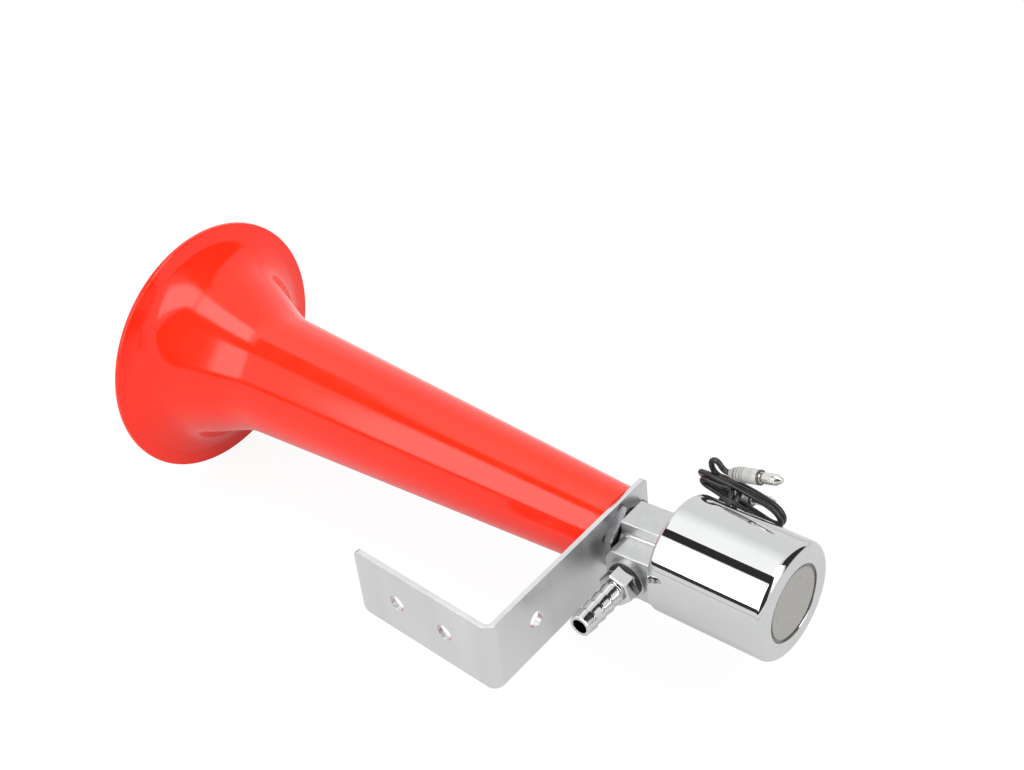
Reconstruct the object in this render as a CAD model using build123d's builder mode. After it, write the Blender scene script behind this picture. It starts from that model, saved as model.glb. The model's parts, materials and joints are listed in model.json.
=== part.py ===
from build123d import *
import math
import os

# Electro-pneumatic horn: a plastic trumpet and a solenoid air valve, clamped to one bent bracket.
# Millimetres, +Z up. The origin is the middle of the bracket's two mounting holes, on the face that
# goes against the vehicle. That face looks along -Y. The bell opens towards -X.

# Bracket, a strip bent once
strip_width = 30.0
strip_thickness = 2.0
leg_length = 66.0
plate_length = 92.0
bend_angle = 86.0
bend_inner_radius = 2.0
strip_corner_radius = 2.5
mount_hole_radius = 3.3
leg_hole_spacing = 23.4
leg_first_hole = 23.1
plate_hole_from_bend = 24.4
throat_from_bend = 76.5
throat_hole_clearance = 0.25

# Trumpet
trumpet_wall = 2.0
neck_radius = 16.1
tube_end_radius = 25.0
tube_length = 171.0
flare_length = 39.9
brim_root_to_mouth = 2.8
brim_root_radius = 48.2
brim_width = 5.9
brim_thickness = 2.2
socket_depth = 17.0
socket_clearance = 0.15
socket_wall = 2.0
rim_round = 0.6

# Nut between bracket and valve body
nut_across_flats = 24.0
nut_thickness = 3.4
nut_corner_bevel = 0.7
nut_clearance = 0.1
nut_turn = 33.0

# Valve body, a die casting on the trumpet's axis
spigot_radius = 6.5
spigot_length = 15.0
spigot_chamfer = 0.8
throat_bore_radius = 3.6
body_front_gap = 0.5
hub_radius = 10.2
hub_length = 19.8
hub_edge_radius = 0.8
casting_draft = 4.5
pad_set_back = 0.6
pad_height = 13.1
pad_near_side = 7.0
pad_far_side = 6.2
pad_edge_radius = 0.6
boss_reach = 17.0
boss_top = 7.6
boss_bottom = -10.4
boss_corner_radius = 5.5
boss_edge_radius = 0.7
web_radius = 1.4
flange_neck_radius = 19.2
flange_thickness = 2.0
chamber_radius = 14.5
chamber_depth = 2.0
nozzle_radius = 6.6
airway_radius = 1.5
airway_from_can_axis = 17.3
airway_height = -2.4

# Air inlet with its hexagon and hose barbs
inlet_from_front = 9.9
inlet_height = -1.4
inlet_hex_across_flats = 12.0
inlet_hex_thickness = 6.0
inlet_hex_turn = 44.5
inlet_hex_chamfer = 0.5
inlet_thread_radius = 4.6
inlet_thread_length = 4.4
inlet_thread_clearance = 0.15
inlet_drilling_depth = 7.4
inlet_facing_radius = 8.0
inlet_facing_height = 1.7
washer_thickness = 0.7
washer_radius = 6.9
barb_length = 20.3
barb_radius = 4.55
barb_root_radius = 3.9
barb_pitch = 4.8
barb_count = 4
barb_tip_radius = 4.1
inlet_bore_radius = 2.9

# Solenoid can, drawn and closed over the casting's flange
can_radius = 22.5
can_length = 47.3
can_wall = 1.2
can_off_axis = 1.6
can_above_axis = 1.2
can_front_edge_radius = 0.9
can_rear_edge_radius = 2.6
can_rear_opening_radius = 14.3
can_fit = 0.3

# Diaphragm stack behind the flange
gasket_thickness = 0.4
diaphragm_thickness = 0.3
valve_plate_thickness = 4.8
valve_plate_relief = 0.8
seat_height = 1.0
seat_radius = 2.6
seat_bore_radius = 1.2
cross_drilling_radius = 1.0
feed_hole_from_axis = 4.6
feed_hole_radius = 0.9

# Solenoid inside the can
guide_tube_bore = 6.3
guide_tube_wall = 0.5
guide_tube_seal_width = 1.6
plunger_clearance = 0.3
plunger_length = 16.0
plunger_stroke = 2.0
plunger_seal_radius = 3.6
plunger_seal_thickness = 2.2
plunger_seal_proud = 0.6
seal_to_seat_gap = 0.1
spring_pocket_radius = 3.6
spring_pocket_depth = 8.0
spring_wire_radius = 0.35
spring_coil_radius = 2.8
spring_turns = 5
core_nose_gap = 0.2
core_spigot_radius = 2.1
core_spigot_length = 2.5
core_fit = 0.05
bobbin_wall = 1.4
bobbin_clearance = 0.2
bobbin_flange_radius = 19.6
bobbin_flange_thickness = 1.5
winding_radius = 18.4
winding_gap = 0.2
rear_plate_thickness = 3.0
end_disc_radius = 12.4
end_disc_recess = 0.3
end_groove_depth = 1.4
end_disc_base = 3.0
end_disc_edge_radius = 0.3
stack_gap = 0.2

# Lead grommet in the can's side
grommet_from_can_front = 7.6
grommet_angle = 26.0
grommet_radius = 4.6
grommet_height = 1.8
grommet_edge_radius = 0.7
grommet_neck_radius = 2.4
grommet_clearance = 0.1
grommet_inner_radius = 2.65
grommet_inner_height = 0.9
notch_side_clearance = 0.4
notch_depth = 1.6

# Leads, folded into one hank, with a bullet connector on each
lead_radius = 1.1
lead_spacing = 2.6
lead_exit_run = 2.6
lead_a_end = (59.6, 106.5, 14.4)
lead_b_end = (56.7, 105.2, 15.2)
tail_a_points = [
    (49.8, 106.2, 16.4),
    (47.4, 105.6, 19.3),
    (47.3, 105.2, 23.1),
    (50.7, 105.4, 24.4),
]
tail_a_end_run = 2.9
tail_b_points = [
    (45.1, 105.2, 16.2),
    (41.6, 105.8, 15.0),
    (42.4, 108.8, 9.6),
]
tail_b_end_run = 3.4
hank_thickness = 4.4
hank_edge_radius = 1.2
hank_to_can = 1.3
hank_left = (18.6, 13.2)
hank_left_radius = 3.0
hank_middle = (34.0, 13.8)
hank_middle_radius = 2.0
hank_low = (31.0, 7.1)
hank_low_radius = 1.6
hank_right = (45.2, 8.0)
hank_right_radius = 5.4
eye_left = (26.5, 11.0)
eye_left_radius = 0.6
eye_middle = (35.0, 10.4)
eye_middle_radius = 1.7
eye_right = (44.8, 8.0)
eye_right_radius = 1.5
connector_a_mouth = (56.4, 105.6, 21.8)
connector_a_slope = 17.0
connector_a_turn = 0.0
connector_b_mouth = (48.5, 109.9, 5.0)
connector_b_slope = 11.2
connector_b_turn = 4.7
sleeve_length = 13.4
sleeve_radius = 2.85
sleeve_mouth_radius = 1.9
sleeve_taper_length = 3.6
sleeve_wall = 0.7
bullet_length = 22.3
bullet_head_radius = 2.1
bullet_waist_radius = 1.75
bullet_waist_length = 1.2
bullet_nose_radius = 1.0
bullet_nose_length = 2.4

os.makedirs("parts", exist_ok=True)

# Frames. Stations along the horn are counted from the bracket plate's rear face towards the can.
lean = 90 - bend_angle
axis_dir = Vector(math.cos(math.radians(lean)), math.sin(math.radians(lean)), 0)
plate_dir = Vector(-math.sin(math.radians(lean)), math.cos(math.radians(lean)), 0)
up = Vector(0, 0, 1)
bend_corner = Vector(leg_first_hole + leg_hole_spacing / 2, 0, 0)
throat_point = bend_corner + plate_dir * throat_from_bend
can_point = throat_point + plate_dir * can_off_axis + up * can_above_axis
horn_axis = Axis(throat_point, axis_dir)
can_axis = Axis(can_point, axis_dir)
# Half sections are drawn with x along the axis and y upwards.
horn_side = Plane(origin=throat_point, x_dir=axis_dir, z_dir=-plate_dir)
can_side = Plane(origin=can_point, x_dir=axis_dir, z_dir=-plate_dir)


def across_horn(station):
    """Plane across the trumpet's axis, x away from the mounting face and y up."""
    return Plane(origin=throat_point + axis_dir * station, x_dir=plate_dir, z_dir=axis_dir)


def across_can(station):
    """Plane across the can's axis, x away from the mounting face and y up."""
    return Plane(origin=can_point + axis_dir * station, x_dir=plate_dir, z_dir=axis_dir)


def turned(side, axis, outline):
    """A piece turned about an axis from the corners of its half section."""
    with BuildPart() as piece:
        with BuildSketch(side):
            with BuildLine():
                Polyline(*outline, close=True)
            make_face()
        revolve(axis=axis)
    return piece.part


def keep(piece, name):
    """Label a finished piece and write it to its own file."""
    piece.label = name
    export_step(piece, "parts/" + name + ".step")


# Stations along the horn, from front to rear
body_front = nut_thickness + body_front_gap
can_front = body_front + hub_length
can_rear = can_front + can_length
flange_front = can_front + can_wall
flange_rear = flange_front + flange_thickness
gasket_rear = flange_rear + gasket_thickness
diaphragm_rear = gasket_rear + diaphragm_thickness
valve_plate_rear = diaphragm_rear + valve_plate_thickness
seat_face = valve_plate_rear + seat_height
seal_front = seat_face + seal_to_seat_gap
plunger_front = seal_front + plunger_seal_proud
plunger_rear = plunger_front + plunger_length
core_front = plunger_rear + plunger_stroke + core_nose_gap
end_disc_rear = can_rear - end_disc_recess
can_end_inside = can_rear - end_groove_depth
end_disc_front = can_end_inside - end_disc_base
rear_plate_rear = end_disc_front - stack_gap
rear_plate_front = rear_plate_rear - rear_plate_thickness
stack_radius = can_radius - can_wall - can_fit

# The lead grommet's seat on the can, looking outwards
grommet_out = plate_dir * math.cos(math.radians(grommet_angle)) + up * math.sin(math.radians(grommet_angle))
grommet_seat = Plane(
    origin=can_point + axis_dir * (can_front + grommet_from_can_front) + grommet_out * can_radius,
    x_dir=axis_dir,
    z_dir=grommet_out,
)

# Mounting bracket
leg_end = bend_corner - Vector(leg_length, 0, 0)
plate_end = bend_corner + plate_dir * plate_length
bend_outer_radius = bend_inner_radius + strip_thickness
plate_rear = Plane(origin=bend_corner, x_dir=plate_dir, z_dir=axis_dir)
with BuildPart() as bracket:
    with BuildSketch(Plane.XY):
        with BuildLine():
            FilletPolyline(leg_end, bend_corner, plate_end, radius=bend_outer_radius)
            offset(amount=strip_thickness, side=Side.LEFT)
        make_face()
    extrude(amount=strip_width / 2, both=True)
    leg_corners = bracket.edges().filter_by(Axis.Y).group_by(Axis.X)[0]
    fillet(leg_corners, radius=strip_corner_radius)
    plate_corners = bracket.edges().filter_by(Axis((0, 0, 0), axis_dir)).group_by(Axis.Y)[-1]
    fillet(plate_corners, radius=strip_corner_radius)
    with BuildSketch(Plane.XZ):
        with GridLocations(leg_hole_spacing, 0, 2, 1):
            Circle(mount_hole_radius)
    extrude(amount=-strip_thickness, mode=Mode.SUBTRACT)
    with BuildSketch(plate_rear):
        with Locations((plate_hole_from_bend, 0)):
            Circle(mount_hole_radius)
        with Locations((throat_from_bend, 0)):
            Circle(spigot_radius + throat_hole_clearance)
    extrude(amount=-strip_thickness, mode=Mode.SUBTRACT)
keep(bracket.part, "mounting_bracket")

# Trumpet: a long cone, a flare that steepens towards the mouth and a flat brim
neck_station = -strip_thickness
tube_end_station = neck_station - tube_length
brim_root_station = tube_end_station - flare_length
mouth_station = brim_root_station - brim_root_to_mouth
rim_radius = brim_root_radius + brim_width
brim_station = mouth_station + brim_thickness
flare_rise = brim_root_radius - tube_end_radius
cone_slope = (tube_end_radius - neck_radius) / tube_length
bore_start_radius = neck_radius - trumpet_wall - socket_wall
tube_end = (tube_end_station, tube_end_radius)
brim_root = (brim_root_station, brim_root_radius)
brim_edge = (brim_station, rim_radius - rim_round)
rim_back = (brim_station - rim_round, rim_radius)
rim_front = (mouth_station + rim_round, rim_radius)
lip_front = (mouth_station, rim_radius - rim_round)
lip_inside = (mouth_station, rim_radius - 2 * trumpet_wall)
inner_tube_end = (tube_end_station, tube_end_radius - trumpet_wall)
bore_start = (neck_station - 2 * socket_depth, bore_start_radius)
socket_end = (neck_station - socket_depth, spigot_radius + socket_clearance)
socket_mouth = (neck_station, spigot_radius + socket_clearance)
neck_end = (neck_station, neck_radius)
with BuildPart() as trumpet:
    with BuildSketch(horn_side):
        with BuildLine():
            Line(neck_end, tube_end)
            Spline(
                tube_end,
                (tube_end_station - 0.4 * flare_length, tube_end_radius + 0.19 * flare_rise),
                (tube_end_station - 0.67 * flare_length, tube_end_radius + 0.41 * flare_rise),
                (tube_end_station - 0.85 * flare_length, tube_end_radius + 0.6 * flare_rise),
                brim_root,
                tangents=((-1, cone_slope), (-1, 2.4)),
            )
            Line(brim_root, brim_edge)
            Polyline(brim_edge, rim_back, rim_front, lip_front, lip_inside)
            Spline(
                lip_inside,
                (tube_end_station - 0.88 * flare_length, tube_end_radius + 0.53 * flare_rise),
                (tube_end_station - 0.69 * flare_length, tube_end_radius + 0.33 * flare_rise),
                (tube_end_station - 0.42 * flare_length, tube_end_radius + 0.11 * flare_rise),
                inner_tube_end,
                tangents=((0.35, -1), (1, -cone_slope)),
            )
            Polyline(inner_tube_end, bore_start, socket_end, socket_mouth, neck_end)
        make_face()
    revolve(axis=horn_axis)
keep(trumpet.part, "trumpet")

# Throat nut, its corners bevelled at 30 degrees on both sides
nut_corner_radius = nut_across_flats / 2 / math.cos(math.radians(30))
nut_face_radius = nut_corner_radius - nut_corner_bevel / math.tan(math.radians(30))
with BuildPart() as nut:
    with BuildSketch(across_horn(0)):
        RegularPolygon(radius=nut_across_flats / 2, side_count=6, major_radius=False, rotation=nut_turn)
        Circle(spigot_radius + nut_clearance, mode=Mode.SUBTRACT)
    extrude(amount=nut_thickness)
    with BuildSketch(horn_side):
        with BuildLine():
            Polyline(
                (0, 0),
                (0, nut_face_radius),
                (nut_corner_bevel, nut_corner_radius),
                (nut_thickness - nut_corner_bevel, nut_corner_radius),
                (nut_thickness, nut_face_radius),
                (nut_thickness, 0),
                close=True,
            )
        make_face()
    revolve(axis=horn_axis, mode=Mode.INTERSECT)
keep(nut.part, "throat_nut")

# Valve body: hub, flat-topped pad, inlet boss with a raised facing, threaded spigot and the flange that
# the can closes over
inlet_station = body_front + inlet_from_front
boss_face = Plane(
    origin=throat_point + axis_dir * inlet_station - plate_dir * boss_reach + up * inlet_height,
    x_dir=axis_dir,
    z_dir=-plate_dir,
)
washer_seat = boss_face.offset(inlet_facing_height)
# The airway slants from the inlet drilling out to the flange, past the sound chamber
airway_end = can_point + axis_dir * flange_rear - plate_dir * airway_from_can_axis + up * airway_height
airway_start = boss_face.origin + plate_dir * (inlet_drilling_depth - airway_radius)
airway_mouth = Plane(origin=airway_end, z_dir=airway_end - airway_start)
airway_length = (airway_end - airway_start).length
# The casting's upper faces rise towards the can by its draft
draft_rise = math.tan(math.radians(casting_draft))
drafted_dir = axis_dir + up * draft_rise
pad_front = body_front + pad_set_back
boss_rear_top = boss_top + hub_length * draft_rise
pad_rear_top = pad_height + (can_front - pad_front) * draft_rise
with BuildPart() as boss:
    with BuildSketch(horn_side):
        with BuildLine():
            Polyline(
                (body_front, boss_bottom),
                (body_front, boss_top),
                (can_front, boss_rear_top),
                (can_front, boss_bottom),
                close=True,
            )
        make_face()
    extrude(amount=boss_reach)
    front_corners = boss.edges().filter_by(Axis((0, 0, 0), plate_dir)).group_by(Axis.X)[0]
    fillet(front_corners, radius=boss_corner_radius)
    fillet(boss.faces().sort_by(Axis.Y)[0].edges(), radius=boss_edge_radius)
    with BuildSketch(boss_face):
        Circle(inlet_facing_radius)
    extrude(amount=inlet_facing_height)

with BuildPart() as body:
    with BuildSketch(across_horn(body_front)):
        Circle(hub_radius)
    extrude(amount=hub_length)
    fillet(body.faces().sort_by(Axis.X)[0].edges(), radius=hub_edge_radius)
    with BuildSketch(horn_side.offset(-pad_far_side)):
        with BuildLine():
            Polyline(
                (pad_front, 0),
                (pad_front, pad_height),
                (can_front, pad_rear_top),
                (can_front, 0),
                close=True,
            )
        make_face()
    extrude(amount=pad_far_side + pad_near_side)
    pad_top = body.faces().sort_by(Axis.Z)[-1]
    fillet(pad_top.edges().filter_by(Axis((0, 0, 0), drafted_dir)), radius=pad_edge_radius)
    add(boss.part)
    web_end = throat_point + axis_dir * can_front - plate_dir * pad_near_side + up * boss_rear_top
    web_edge = body.edges().filter_by(Axis((0, 0, 0), drafted_dir)).sort_by_distance(web_end)[0]
    fillet(web_edge, radius=web_radius)
    # The neck through the can's mouth, then the flange inside it
    with BuildSketch(can_side):
        with BuildLine():
            Polyline(
                (can_front, 0),
                (can_front, flange_neck_radius),
                (flange_front, flange_neck_radius),
                (flange_front, stack_radius),
                (flange_rear, stack_radius),
                (flange_rear, chamber_radius),
                (flange_rear - chamber_depth, chamber_radius),
                (flange_rear - chamber_depth, nozzle_radius),
                (flange_rear, nozzle_radius),
                (flange_rear, 0),
                close=True,
            )
        make_face()
    revolve(axis=can_axis)
    with BuildSketch(across_horn(body_front)):
        Circle(spigot_radius)
    extrude(amount=-(body_front + strip_thickness + spigot_length))
    chamfer(body.faces().sort_by(Axis.X)[0].edges(), length=spigot_chamfer)
    # Throat bore from nozzle to spigot, inlet thread and the airway between inlet and valve
    with BuildSketch(across_horn(flange_rear)):
        Circle(throat_bore_radius)
    extrude(amount=-(flange_rear + strip_thickness + spigot_length), mode=Mode.SUBTRACT)
    with BuildSketch(washer_seat):
        Circle(inlet_thread_radius + inlet_thread_clearance)
    extrude(amount=-(inlet_facing_height + inlet_drilling_depth), mode=Mode.SUBTRACT)
    with BuildSketch(airway_mouth):
        Circle(airway_radius)
    extrude(amount=-airway_length, mode=Mode.SUBTRACT)
keep(body.part, "valve_body")

# Sealing washer and hose barb
with BuildPart() as washer:
    with BuildSketch(washer_seat):
        Circle(washer_radius)
        Circle(inlet_thread_radius + inlet_thread_clearance, mode=Mode.SUBTRACT)
    extrude(amount=washer_thickness)
keep(washer.part, "inlet_washer")

hex_seat = washer_seat.offset(washer_thickness)
barb_root = hex_seat.offset(inlet_hex_thickness)
barb_axis = Axis(boss_face.origin, boss_face.z_dir)
barb_side = Plane(origin=barb_root.origin, x_dir=boss_face.z_dir, z_dir=-boss_face.x_dir)
with BuildPart() as barb:
    with BuildSketch(hex_seat):
        RegularPolygon(
            radius=inlet_hex_across_flats / 2, side_count=6, major_radius=False, rotation=inlet_hex_turn
        )
    extrude(amount=inlet_hex_thickness)
    chamfer(barb.faces().sort_by(Axis.Y)[0].edges(), length=inlet_hex_chamfer)
    with BuildSketch(hex_seat):
        Circle(inlet_thread_radius)
    extrude(amount=-(washer_thickness + inlet_thread_length))
    with BuildSketch(barb_side):
        with BuildLine():
            ridges = [(0, 0), (0, barb_root_radius)]
            first_ridge = barb_length - barb_count * barb_pitch
            for ridge in range(barb_count):
                start = first_ridge + ridge * barb_pitch
                ridges += [(start, barb_root_radius), (start, barb_radius)]
            ridges += [(barb_length, barb_tip_radius), (barb_length, 0)]
            Polyline(*ridges, close=True)
        make_face()
    revolve(axis=barb_axis)
    with BuildSketch(barb_root.offset(barb_length)):
        Circle(inlet_bore_radius)
    extrude(
        amount=-(barb_length + inlet_hex_thickness + washer_thickness + inlet_thread_length),
        mode=Mode.SUBTRACT,
    )
keep(barb.part, "hose_barb")

# Solenoid can: one drawn shell with both ends turned in
with BuildPart() as can:
    with BuildSketch(can_side):
        with BuildLine():
            Polyline(
                (can_front, flange_neck_radius + can_fit),
                (can_front, can_radius),
                (can_rear, can_radius),
                (can_rear, can_rear_opening_radius),
                (can_end_inside, can_rear_opening_radius),
                (can_end_inside, can_radius - can_wall),
                (flange_front, can_radius - can_wall),
                (flange_front, flange_neck_radius + can_fit),
                close=True,
            )
        make_face()
    revolve(axis=can_axis)
    outer_edges = can.edges().filter_by(GeomType.CIRCLE).group_by(SortBy.RADIUS)[-1].sort_by(Axis.X)
    fillet(outer_edges[-1], radius=can_rear_edge_radius)
    fillet(outer_edges[0], radius=can_front_edge_radius)
    with BuildSketch(grommet_seat):
        Circle(grommet_neck_radius + grommet_clearance)
    extrude(amount=-(can_radius - stack_radius), mode=Mode.SUBTRACT)
keep(can.part, "solenoid_can")

# Diaphragm stack. Air passes its rim through a hole on each side: feed on the inlet's side, outlet opposite
feed_place = (-airway_from_can_axis, airway_height)
outlet_place = (airway_from_can_axis, airway_height)
with BuildPart() as gasket:
    with BuildSketch(across_can(flange_rear)):
        Circle(stack_radius)
        Circle(chamber_radius, mode=Mode.SUBTRACT)
        with Locations(feed_place):
            Circle(airway_radius, mode=Mode.SUBTRACT)
        with Locations((outlet_place[0] - airway_radius, outlet_place[1])):
            SlotCenterToCenter(2 * airway_radius, 2 * airway_radius, mode=Mode.SUBTRACT)
    extrude(amount=gasket_thickness)
keep(gasket.part, "diaphragm_gasket")

with BuildPart() as diaphragm:
    with BuildSketch(across_can(gasket_rear)):
        Circle(stack_radius)
        with Locations(feed_place, outlet_place):
            Circle(airway_radius, mode=Mode.SUBTRACT)
    extrude(amount=diaphragm_thickness)
keep(diaphragm.part, "diaphragm")

# Valve plate: seat in the middle, two cross drillings inside, a notch for the leads
drilling_middle = (diaphragm_rear + valve_plate_relief + valve_plate_rear) / 2
feed_drilling = Plane(
    origin=can_point + axis_dir * drilling_middle - plate_dir * stack_radius + up * airway_height,
    z_dir=plate_dir,
)
outlet_drilling = Plane(
    origin=can_point + axis_dir * drilling_middle + plate_dir * stack_radius + up * airway_height,
    z_dir=-plate_dir,
)
notch_place = Plane(
    origin=grommet_seat.origin - grommet_seat.z_dir * (can_radius - stack_radius),
    x_dir=axis_dir,
    z_dir=-grommet_seat.z_dir,
)
with BuildPart() as valve_plate:
    with BuildSketch(can_side):
        with BuildLine():
            Polyline(
                (diaphragm_rear + valve_plate_relief, 0),
                (diaphragm_rear + valve_plate_relief, chamber_radius),
                (diaphragm_rear, chamber_radius),
                (diaphragm_rear, stack_radius),
                (valve_plate_rear, stack_radius),
                (valve_plate_rear, seat_radius),
                (seat_face, seat_radius),
                (seat_face, 0),
                close=True,
            )
        make_face()
    revolve(axis=can_axis)
    with BuildSketch(feed_drilling):
        Circle(cross_drilling_radius)
    extrude(amount=stack_radius - feed_hole_from_axis + feed_hole_radius, mode=Mode.SUBTRACT)
    with BuildSketch(outlet_drilling):
        Circle(cross_drilling_radius)
    extrude(amount=stack_radius + seat_bore_radius, mode=Mode.SUBTRACT)
    with BuildSketch(across_can(diaphragm_rear)):
        with Locations(feed_place, outlet_place):
            Circle(airway_radius)
    extrude(amount=drilling_middle - diaphragm_rear, mode=Mode.SUBTRACT)
    with BuildSketch(across_can(valve_plate_rear)):
        with Locations((-feed_hole_from_axis, airway_height)):
            Circle(feed_hole_radius)
    extrude(amount=drilling_middle - valve_plate_rear, mode=Mode.SUBTRACT)
    with BuildSketch(across_can(seat_face)):
        Circle(seat_bore_radius)
    extrude(amount=drilling_middle - seat_face, mode=Mode.SUBTRACT)
    with BuildSketch(notch_place):
        Rectangle(2 * valve_plate_thickness, 2 * (grommet_inner_radius + notch_side_clearance))
    extrude(amount=notch_depth, mode=Mode.SUBTRACT)
keep(valve_plate.part, "valve_plate")

# Solenoid: guide tube with its seal, moving plunger, return spring and fixed core
tube_outer_radius = guide_tube_bore + guide_tube_wall
guide_tube = turned(
    can_side,
    can_axis,
    [
        (valve_plate_rear, guide_tube_bore),
        (valve_plate_rear, tube_outer_radius),
        (rear_plate_front, tube_outer_radius),
        (rear_plate_front, guide_tube_bore),
    ],
)
keep(guide_tube, "guide_tube")

seal_outer_radius = tube_outer_radius + guide_tube_seal_width
with BuildPart() as tube_seal:
    with BuildSketch(across_can(valve_plate_rear)):
        Circle(seal_outer_radius)
        Circle(tube_outer_radius, mode=Mode.SUBTRACT)
    extrude(amount=guide_tube_seal_width)
keep(tube_seal.part, "guide_tube_seal")

plunger_radius = guide_tube_bore - plunger_clearance
pocket_floor = plunger_rear - spring_pocket_depth
seal_rear = seal_front + plunger_seal_thickness
plunger = turned(
    can_side,
    can_axis,
    [
        (seal_rear, 0),
        (seal_rear, plunger_seal_radius + core_fit),
        (plunger_front, plunger_seal_radius + core_fit),
        (plunger_front, plunger_radius),
        (plunger_rear, plunger_radius),
        (plunger_rear, spring_pocket_radius),
        (pocket_floor, spring_pocket_radius),
        (pocket_floor, 0),
    ],
)
keep(plunger, "plunger")

plunger_seal = turned(
    can_side,
    can_axis,
    [(seal_front, 0), (seal_front, plunger_seal_radius), (seal_rear, plunger_seal_radius), (seal_rear, 0)],
)
keep(plunger_seal, "plunger_seal")

spring_length = core_front - pocket_floor - 2 * spring_wire_radius
spring_start = can_point + axis_dir * (pocket_floor + spring_wire_radius)
with BuildPart() as spring:
    with BuildLine() as coil:
        Helix(
            pitch=spring_length / spring_turns,
            height=spring_length,
            radius=spring_coil_radius,
            center=spring_start,
            direction=axis_dir,
        )
    with BuildSketch(Plane(origin=coil.line @ 0, z_dir=coil.line % 0)):
        RegularPolygon(radius=spring_wire_radius, side_count=6)
    sweep(is_frenet=True)
keep(spring.part, "return_spring")

core_radius = guide_tube_bore - core_fit
core = turned(
    can_side,
    can_axis,
    [
        (core_front - core_spigot_length, 0),
        (core_front - core_spigot_length, core_spigot_radius),
        (core_front, core_spigot_radius),
        (core_front, core_radius),
        (rear_plate_rear, core_radius),
        (rear_plate_rear, 0),
    ],
)
keep(core, "fixed_core")

# Coil on its bobbin
bobbin_front = valve_plate_rear + stack_gap
bobbin_rear = rear_plate_front - stack_gap
bobbin_bore = tube_outer_radius + bobbin_clearance
seal_room = seal_outer_radius + bobbin_clearance
bobbin = turned(
    can_side,
    can_axis,
    [
        (bobbin_front, seal_room),
        (bobbin_front, bobbin_flange_radius),
        (bobbin_front + bobbin_flange_thickness, bobbin_flange_radius),
        (bobbin_front + bobbin_flange_thickness, seal_room + bobbin_wall),
        (bobbin_rear - bobbin_flange_thickness, seal_room + bobbin_wall),
        (bobbin_rear - bobbin_flange_thickness, bobbin_flange_radius),
        (bobbin_rear, bobbin_flange_radius),
        (bobbin_rear, bobbin_bore),
        (bobbin_front + guide_tube_seal_width, bobbin_bore),
        (bobbin_front + guide_tube_seal_width, seal_room),
    ],
)
keep(bobbin, "coil_bobbin")

winding_start = bobbin_front + bobbin_flange_thickness + winding_gap
winding_end = bobbin_rear - bobbin_flange_thickness - winding_gap
winding_inner = seal_room + bobbin_wall + winding_gap
winding = turned(
    can_side,
    can_axis,
    [
        (winding_start, winding_inner),
        (winding_start, winding_radius),
        (winding_end, winding_radius),
        (winding_end, winding_inner),
    ],
)
keep(winding, "coil_winding")

# Rear flux plate, and the end disc that shows in the can's rear opening
with BuildPart() as rear_plate:
    with BuildSketch(across_can(rear_plate_front)):
        Circle(stack_radius)
        Circle(core_radius + core_fit, mode=Mode.SUBTRACT)
    extrude(amount=rear_plate_thickness)
keep(rear_plate.part, "rear_flux_plate")

with BuildPart() as end_disc:
    with BuildSketch(across_can(end_disc_front)):
        Circle(stack_radius)
    extrude(amount=end_disc_base)
    with BuildSketch(across_can(can_end_inside)):
        Circle(end_disc_radius)
    extrude(amount=end_disc_rear - can_end_inside)
    fillet(end_disc.faces().sort_by(Axis.X)[-1].edges(), radius=end_disc_edge_radius)
keep(end_disc.part, "end_disc")

# Grommet where the leads come out
with BuildPart() as grommet:
    with BuildSketch(grommet_seat.offset(-can_wall)):
        Circle(grommet_radius)
    extrude(amount=can_wall + grommet_height)
    grommet_top = grommet.faces().sort_by(Axis(grommet_seat.origin, grommet_out))[-1]
    fillet(grommet_top.edges(), radius=grommet_edge_radius)
    with BuildSketch(across_can(can_front)):
        Circle(can_radius)
    extrude(amount=can_length, mode=Mode.SUBTRACT)
    with BuildSketch(grommet_seat.offset(-(can_radius - stack_radius))):
        Circle(grommet_neck_radius)
    extrude(amount=can_radius - stack_radius + grommet_height / 2)
    with BuildSketch(grommet_seat.offset(-(can_radius - stack_radius) - grommet_inner_height)):
        Circle(grommet_inner_radius)
    extrude(amount=grommet_inner_height)
keep(grommet.part, "lead_grommet")


def lead_tube(points, name):
    """One lead as straight runs and tangent arcs, each arc as large as its runs allow."""
    runs = [b - a for a, b in zip(points, points[1:])]
    radii = []
    for before, after in zip(runs, runs[1:]):
        half_turn = math.radians(before.get_angle(after) / 2)
        radii.append(0.45 * min(before.length, after.length) / math.tan(half_turn))
    print(name, "arc radii", [round(radius, 1) for radius in radii])
    with BuildPart() as tube:
        with BuildLine() as route:
            FilletPolyline(*points, radius=radii)
        with BuildSketch(Plane(origin=points[0], z_dir=runs[0])):
            Circle(lead_radius)
        sweep()
    length = route.wires()[0].length
    volume_ratio = tube.part.volume / (math.pi * lead_radius**2 * length)
    print(name, "length", round(length, 1), "volume ratio", round(volume_ratio, 4))
    keep(tube.part, name)


def pointing(slope, turn):
    """Direction of a connector: turned away from the can's axis, then raised."""
    level = axis_dir.rotate(Axis.Z, turn)
    return level * math.cos(math.radians(slope)) + up * math.sin(math.radians(slope))


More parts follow.
